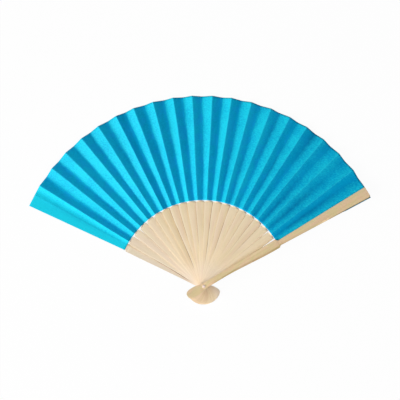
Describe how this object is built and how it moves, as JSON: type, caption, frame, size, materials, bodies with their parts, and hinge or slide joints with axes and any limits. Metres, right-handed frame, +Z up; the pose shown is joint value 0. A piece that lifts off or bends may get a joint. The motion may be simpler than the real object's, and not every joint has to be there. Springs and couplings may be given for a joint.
{
  "type": "folding hand fan",
  "caption": "Folding hand fan: a plain pleated paper leaf on flat bamboo ribs that turn on one rivet between two thicker guards.",
  "frame": {"origin": "middle of the bottom of the open fan's box, on the table that it lies on", "axes": "+Z up from the table, out of the fan's front; +X across the spread leaf, towards the front guard; +Y from the rivet towards the middle of the leaf's outer edge"},
  "size_m": [0.3404, 0.2078, 0.0205],
  "materials": {
    "bamboo_guard": "planed bamboo, unvarnished",
    "bamboo_rib": "planed bamboo, unvarnished",
    "leaf_paper": "matt dyed paper",
    "rivet_metal": "bright wire rivet"
  },
  "bodies": {
    "rear_guard": {"rear_guard": "bamboo_guard", "leaf_00": "leaf_paper", "rivet_pin": "rivet_metal", "rear_washer": "rivet_metal"},
    "rib_01": {"rib_01": "bamboo_rib", "leaf_01": "leaf_paper"},
    "rib_02": {"rib_02": "bamboo_rib", "leaf_02": "leaf_paper"},
    "rib_03": {"rib_03": "bamboo_rib", "leaf_03": "leaf_paper"},
    "rib_04": {"rib_04": "bamboo_rib", "leaf_04": "leaf_paper"},
    "rib_05": {"rib_05": "bamboo_rib", "leaf_05": "leaf_paper"},
    "rib_06": {"rib_06": "bamboo_rib", "leaf_06": "leaf_paper"},
    "rib_07": {"rib_07": "bamboo_rib", "leaf_07": "leaf_paper"},
    "rib_08": {"rib_08": "bamboo_rib", "leaf_08": "leaf_paper"},
    "rib_09": {"rib_09": "bamboo_rib", "leaf_09": "leaf_paper"},
    "rib_10": {"rib_10": "bamboo_rib", "leaf_10": "leaf_paper"},
    "rib_11": {"rib_11": "bamboo_rib", "leaf_11": "leaf_paper"},
    "rib_12": {"rib_12": "bamboo_rib", "leaf_12": "leaf_paper"},
    "rib_13": {"rib_13": "bamboo_rib", "leaf_13": "leaf_paper"},
    "rib_14": {"rib_14": "bamboo_rib", "leaf_14": "leaf_paper"},
    "rib_15": {"rib_15": "bamboo_rib", "leaf_15": "leaf_paper"},
    "rib_16": {"rib_16": "bamboo_rib", "leaf_16": "leaf_paper"},
    "rib_17": {"rib_17": "bamboo_rib", "leaf_17": "leaf_paper"},
    "rib_18": {"rib_18": "bamboo_rib", "leaf_18": "leaf_paper"},
    "rib_19": {"rib_19": "bamboo_rib", "leaf_19": "leaf_paper"},
    "front_guard": {"front_guard": "bamboo_guard", "leaf_20": "leaf_paper"}
  },
  "joints": [
    {"name": "rib_01_hinge", "type": "hinge", "parent": "rear_guard", "child": "rib_01", "pos_m": [0.00236, -0.08647, 0.00226], "axis": [0.0344, 0.0448, 0.9984], "range_deg": [-0.32, 6.36], "deforming": ["leaf_00"]},
    {"name": "rib_02_hinge", "type": "hinge", "parent": "rear_guard", "child": "rib_02", "pos_m": [0.00236, -0.08647, 0.00226], "axis": [0.0344, 0.0448, 0.9984], "range_deg": [-0.63, 12.68], "deforming": ["leaf_01"]},
    {"name": "rib_03_hinge", "type": "hinge", "parent": "rear_guard", "child": "rib_03", "pos_m": [0.00236, -0.08647, 0.00226], "axis": [0.0344, 0.0448, 0.9984], "range_deg": [-0.94, 18.97], "deforming": ["leaf_02"]},
    {"name": "rib_04_hinge", "type": "hinge", "parent": "rear_guard", "child": "rib_04", "pos_m": [0.00236, -0.08647, 0.00226], "axis": [0.0344, 0.0448, 0.9984], "range_deg": [-1.24, 25.2], "deforming": ["leaf_03"]},
    {"name": "rib_05_hinge", "type": "hinge", "parent": "rear_guard", "child": "rib_05", "pos_m": [0.00236, -0.08647, 0.00226], "axis": [0.0344, 0.0448, 0.9984], "range_deg": [-1.54, 31.36], "deforming": ["leaf_04"]},
    {"name": "rib_06_hinge", "type": "hinge", "parent": "rear_guard", "child": "rib_06", "pos_m": [0.00236, -0.08647, 0.00226], "axis": [0.0344, 0.0448, 0.9984], "range_deg": [-1.84, 37.46], "deforming": ["leaf_05"]},
    {"name": "rib_07_hinge", "type": "hinge", "parent": "rear_guard", "child": "rib_07", "pos_m": [0.00236, -0.08647, 0.00226], "axis": [0.0344, 0.0448, 0.9984], "range_deg": [-2.14, 43.49], "deforming": ["leaf_06"]},
    {"name": "rib_08_hinge", "type": "hinge", "parent": "rear_guard", "child": "rib_08", "pos_m": [0.00236, -0.08647, 0.00226], "axis": [0.0344, 0.0448, 0.9984], "range_deg": [-2.43, 49.46], "deforming": ["leaf_07"]},
    {"name": "rib_09_hinge", "type": "hinge", "parent": "rear_guard", "child": "rib_09", "pos_m": [0.00236, -0.08647, 0.00226], "axis": [0.0344, 0.0448, 0.9984], "range_deg": [-2.72, 55.4], "deforming": ["leaf_08"]},
    {"name": "rib_10_hinge", "type": "hinge", "parent": "rear_guard", "child": "rib_10", "pos_m": [0.00236, -0.08647, 0.00226], "axis": [0.0344, 0.0448, 0.9984], "range_deg": [-3.01, 61.31], "deforming": ["leaf_09"]},
    {"name": "rib_11_hinge", "type": "hinge", "parent": "rear_guard", "child": "rib_11", "pos_m": [0.00236, -0.08647, 0.00226], "axis": [0.0344, 0.0448, 0.9984], "range_deg": [-3.3, 67.22], "deforming": ["leaf_10"]},
    {"name": "rib_12_hinge", "type": "hinge", "parent": "rear_guard", "child": "rib_12", "pos_m": [0.00236, -0.08647, 0.00226], "axis": [0.0344, 0.0448, 0.9984], "range_deg": [-3.59, 73.16], "deforming": ["leaf_11"]},
    {"name": "rib_13_hinge", "type": "hinge", "parent": "rear_guard", "child": "rib_13", "pos_m": [0.00236, -0.08647, 0.00226], "axis": [0.0344, 0.0448, 0.9984], "range_deg": [-3.88, 79.13], "deforming": ["leaf_12"]},
    {"name": "rib_14_hinge", "type": "hinge", "parent": "rear_guard", "child": "rib_14", "pos_m": [0.00236, -0.08647, 0.00226], "axis": [0.0344, 0.0448, 0.9984], "range_deg": [-4.18, 85.16], "deforming": ["leaf_13"]},
    {"name": "rib_15_hinge", "type": "hinge", "parent": "rear_guard", "child": "rib_15", "pos_m": [0.00236, -0.08647, 0.00226], "axis": [0.0344, 0.0448, 0.9984], "range_deg": [-4.48, 91.26], "deforming": ["leaf_14"]},
    {"name": "rib_16_hinge", "type": "hinge", "parent": "rear_guard", "child": "rib_16", "pos_m": [0.00236, -0.08647, 0.00226], "axis": [0.0344, 0.0448, 0.9984], "range_deg": [-4.78, 97.42], "deforming": ["leaf_15"]},
    {"name": "rib_17_hinge", "type": "hinge", "parent": "rear_guard", "child": "rib_17", "pos_m": [0.00236, -0.08647, 0.00226], "axis": [0.0344, 0.0448, 0.9984], "range_deg": [-5.08, 103.65], "deforming": ["leaf_16"]},
    {"name": "rib_18_hinge", "type": "hinge", "parent": "rear_guard", "child": "rib_18", "pos_m": [0.00236, -0.08647, 0.00226], "axis": [0.0344, 0.0448, 0.9984], "range_deg": [-5.39, 109.94], "deforming": ["leaf_17"]},
    {"name": "rib_19_hinge", "type": "hinge", "parent": "rear_guard", "child": "rib_19", "pos_m": [0.00236, -0.08647, 0.00226], "axis": [0.0344, 0.0448, 0.9984], "range_deg": [-5.7, 116.26], "deforming": ["leaf_18"]},
    {"name": "front_guard_hinge", "type": "hinge", "parent": "rear_guard", "child": "front_guard", "pos_m": [0.00236, -0.08647, 0.00226], "axis": [0.0344, 0.0448, 0.9984], "range_deg": [-6, 122.6], "deforming": ["leaf_19"]}
  ],
  "couplings": [
    {"joint": "rib_01_hinge", "follows": "front_guard_hinge", "ratio": 0.05176},
    {"joint": "rib_02_hinge", "follows": "front_guard_hinge", "ratio": 0.10336},
    {"joint": "rib_03_hinge", "follows": "front_guard_hinge", "ratio": 0.15462},
    {"joint": "rib_04_hinge", "follows": "front_guard_hinge", "ratio": 0.20543},
    {"joint": "rib_05_hinge", "follows": "front_guard_hinge", "ratio": 0.25571},
    {"joint": "rib_06_hinge", "follows": "front_guard_hinge", "ratio": 0.30543},
    {"joint": "rib_07_hinge", "follows": "front_guard_hinge", "ratio": 0.35462},
    {"joint": "rib_08_hinge", "follows": "front_guard_hinge", "ratio": 0.40336},
    {"joint": "rib_09_hinge", "follows": "front_guard_hinge", "ratio": 0.45176},
    {"joint": "rib_10_hinge", "follows": "front_guard_hinge", "ratio": 0.5},
    {"joint": "rib_11_hinge", "follows": "front_guard_hinge", "ratio": 0.54824},
    {"joint": "rib_12_hinge", "follows": "front_guard_hinge", "ratio": 0.59664},
    {"joint": "rib_13_hinge", "follows": "front_guard_hinge", "ratio": 0.64538},
    {"joint": "rib_14_hinge", "follows": "front_guard_hinge", "ratio": 0.69457},
    {"joint": "rib_15_hinge", "follows": "front_guard_hinge", "ratio": 0.74429},
    {"joint": "rib_16_hinge", "follows": "front_guard_hinge", "ratio": 0.79457},
    {"joint": "rib_17_hinge", "follows": "front_guard_hinge", "ratio": 0.84538},
    {"joint": "rib_18_hinge", "follows": "front_guard_hinge", "ratio": 0.89664},
    {"joint": "rib_19_hinge", "follows": "front_guard_hinge", "ratio": 0.94824}
  ]
}
